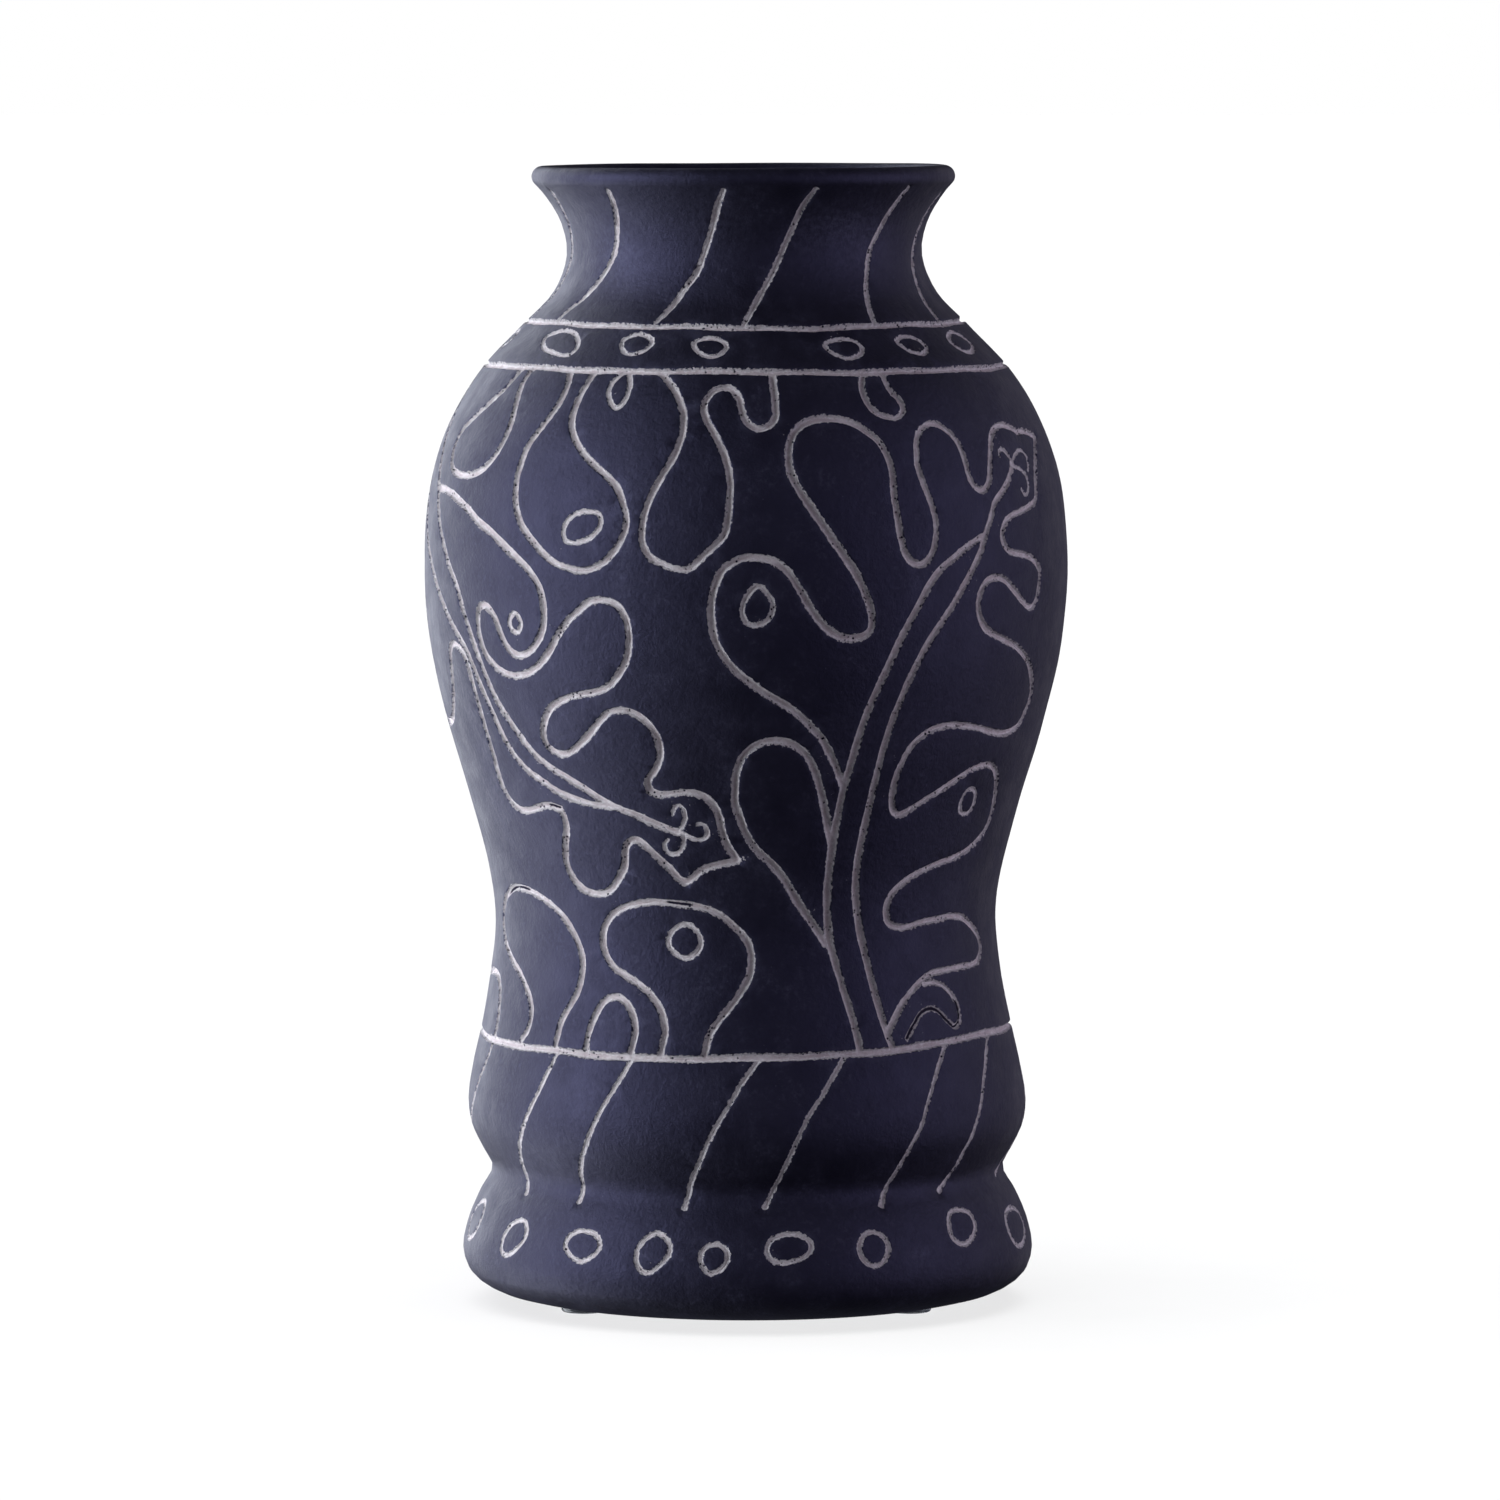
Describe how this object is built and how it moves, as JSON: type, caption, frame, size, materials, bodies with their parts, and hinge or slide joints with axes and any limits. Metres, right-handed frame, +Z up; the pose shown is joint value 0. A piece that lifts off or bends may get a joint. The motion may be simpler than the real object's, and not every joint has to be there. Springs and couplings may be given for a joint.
{
  "type": "clay pot",
  "caption": "Tall matt black clay pot with a waisted body, flared rounded lip and incised ring grooves, standing on stick-on foot pads.",
  "frame": {"origin": "centre of the pot's footprint, on the surface that its foot pads stand on", "axes": "+Z is up along the pot's own axis, from the foot to the mouth; -Y is the front that the picture shows and +X is to its right"},
  "size_m": [0.1824, 0.1824, 0.3227],
  "materials": {
    "black_clay": "matt, dusty, fine-grained",
    "pale_groove": "raw, chalky",
    "clear_pad": "smooth, translucent"
  },
  "bodies": {
    "root": {"pot_body": "black_clay", "foot_pad_front_left": "clear_pad", "foot_pad_front_right": "clear_pad", "foot_pad_rear": "clear_pad"}
  },
  "joints": []
}
